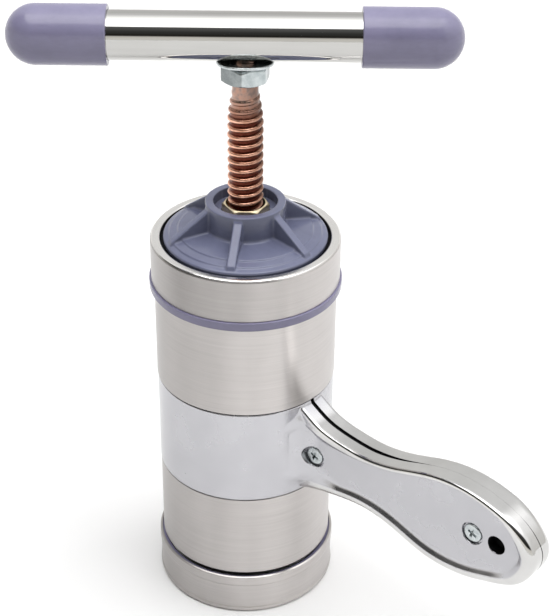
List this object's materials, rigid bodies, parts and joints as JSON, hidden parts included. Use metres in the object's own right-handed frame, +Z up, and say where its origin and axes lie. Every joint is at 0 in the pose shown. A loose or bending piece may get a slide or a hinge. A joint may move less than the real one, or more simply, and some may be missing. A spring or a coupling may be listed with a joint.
{
  "type": "pasta extruder with crank",
  "caption": "Hand cranked noodle press: a T-handle screw drives a piston down a steel barrel with a screwed lid, a side handle and a screwed collar that holds a holed die.",
  "frame": {"origin": "centre of the collar's bottom face, on the barrel axis", "axes": "+Z up along the barrel axis to the crossbar, +X along the side handle, +Y to the back handle shell"},
  "size_m": [0.188, 0.1022, 0.2221],
  "materials": {
    "cast_aluminium": "machined",
    "brushed_sleeve": "brushed around the barrel",
    "handle_metal": "satin plated",
    "zinc": "zinc plated",
    "brass": "turned",
    "plastic": "satin moulded",
    "seal": "soft silicone",
    "copper_plate": "copper plated, worn",
    "bright_tube": "polished",
    "die_plastic": "moulded"
  },
  "bodies": {
    "barrel": {"barrel_core": "cast_aluminium", "lower_sleeve": "brushed_sleeve", "upper_sleeve": "brushed_sleeve", "handle_front_shell": "handle_metal", "handle_back_shell": "handle_metal", "handle_screws": "zinc", "handle_inserts": "brass"},
    "lid_seal": {"lid_gasket": "seal"},
    "lid": {"lid_cap": "plastic", "lid_sleeve": "brushed_sleeve", "spindle_nut": "brass"},
    "piston": {"press_plate": "plastic", "press_face": "brushed_sleeve", "press_seal": "seal"},
    "spindle": {"spindle_screw": "copper_plate", "crossbar_nut": "zinc", "crossbar_washer": "zinc", "crossbar_tube": "bright_tube", "crossbar_lock_nut": "zinc", "left_end_cap": "plastic", "right_end_cap": "plastic", "press_washer": "zinc", "press_screw": "zinc"},
    "die": {"die_plate": "die_plastic", "die_gasket": "seal"},
    "collar": {"bottom_collar": "brushed_sleeve", "collar_ring": "plastic"}
  },
  "joints": [
    {"name": "lid_lift", "type": "slide", "parent": "barrel", "child": "lid_seal", "axis": [0, 0, 1], "range_m": [0, 0.01201]},
    {"name": "lid_turn", "type": "hinge", "parent": "lid_seal", "child": "lid", "pos_m": [0, 0, 0.138], "axis": [0, 0, 1], "range_deg": [0, 1440]},
    {"name": "press_travel", "type": "slide", "parent": "lid", "child": "piston", "axis": [0, 0, 1], "range_m": [-0.04351, 0.06901]},
    {"name": "spindle_turn", "type": "hinge", "parent": "piston", "child": "spindle", "pos_m": [0, 0, 0.15], "axis": [0, 0, 1], "range_deg": [-5220, 8280]},
    {"name": "die_drop", "type": "slide", "parent": "barrel", "child": "die", "axis": [0, 0, -1], "range_m": [0, 0.00901]},
    {"name": "collar_turn", "type": "hinge", "parent": "die", "child": "collar", "pos_m": [0, 0, 0.01], "axis": [0, 0, -1], "range_deg": [0, 1080]}
  ],
  "couplings": [
    {"joint": "lid_lift", "follows": "lid_turn", "m_per_rad": 0.00047746},
    {"joint": "press_travel", "follows": "spindle_turn", "m_per_rad": 0.00047746},
    {"joint": "die_drop", "follows": "collar_turn", "m_per_rad": 0.00047746}
  ]
}
